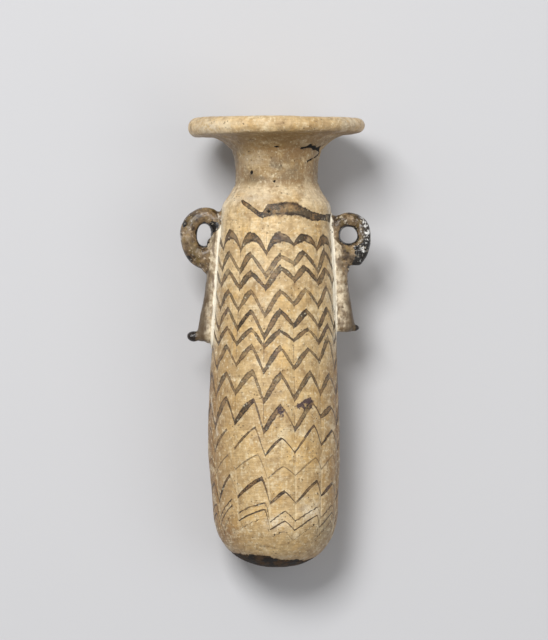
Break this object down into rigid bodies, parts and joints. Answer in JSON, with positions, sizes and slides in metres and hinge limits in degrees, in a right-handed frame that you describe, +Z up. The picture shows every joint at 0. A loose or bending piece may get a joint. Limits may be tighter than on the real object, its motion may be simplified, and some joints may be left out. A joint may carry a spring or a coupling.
{
  "type": "alabastron",
  "caption": "Core-formed glass oil flask with a round bottom, a short neck, a broad rim disk, zigzag trails and ring handles with tails; it lies on its back.",
  "frame": {"origin": "on the floor, below the middle of the whole flask as it lies on its back", "axes": "+Y along the flask toward its rim, +X toward the right handle as seen from the front, +Z up, out of the flask's front"},
  "size_m": [0.0552, 0.1304, 0.0503],
  "materials": {
    "cream_glass": "opaque weathered glass, cream to tan, satin",
    "brown_glass": "opaque brown glass, pitted, glossy where sound"
  },
  "bodies": {
    "root": {"vessel": "cream_glass", "left_handle": "brown_glass", "right_handle": "brown_glass"}
  },
  "joints": []
}
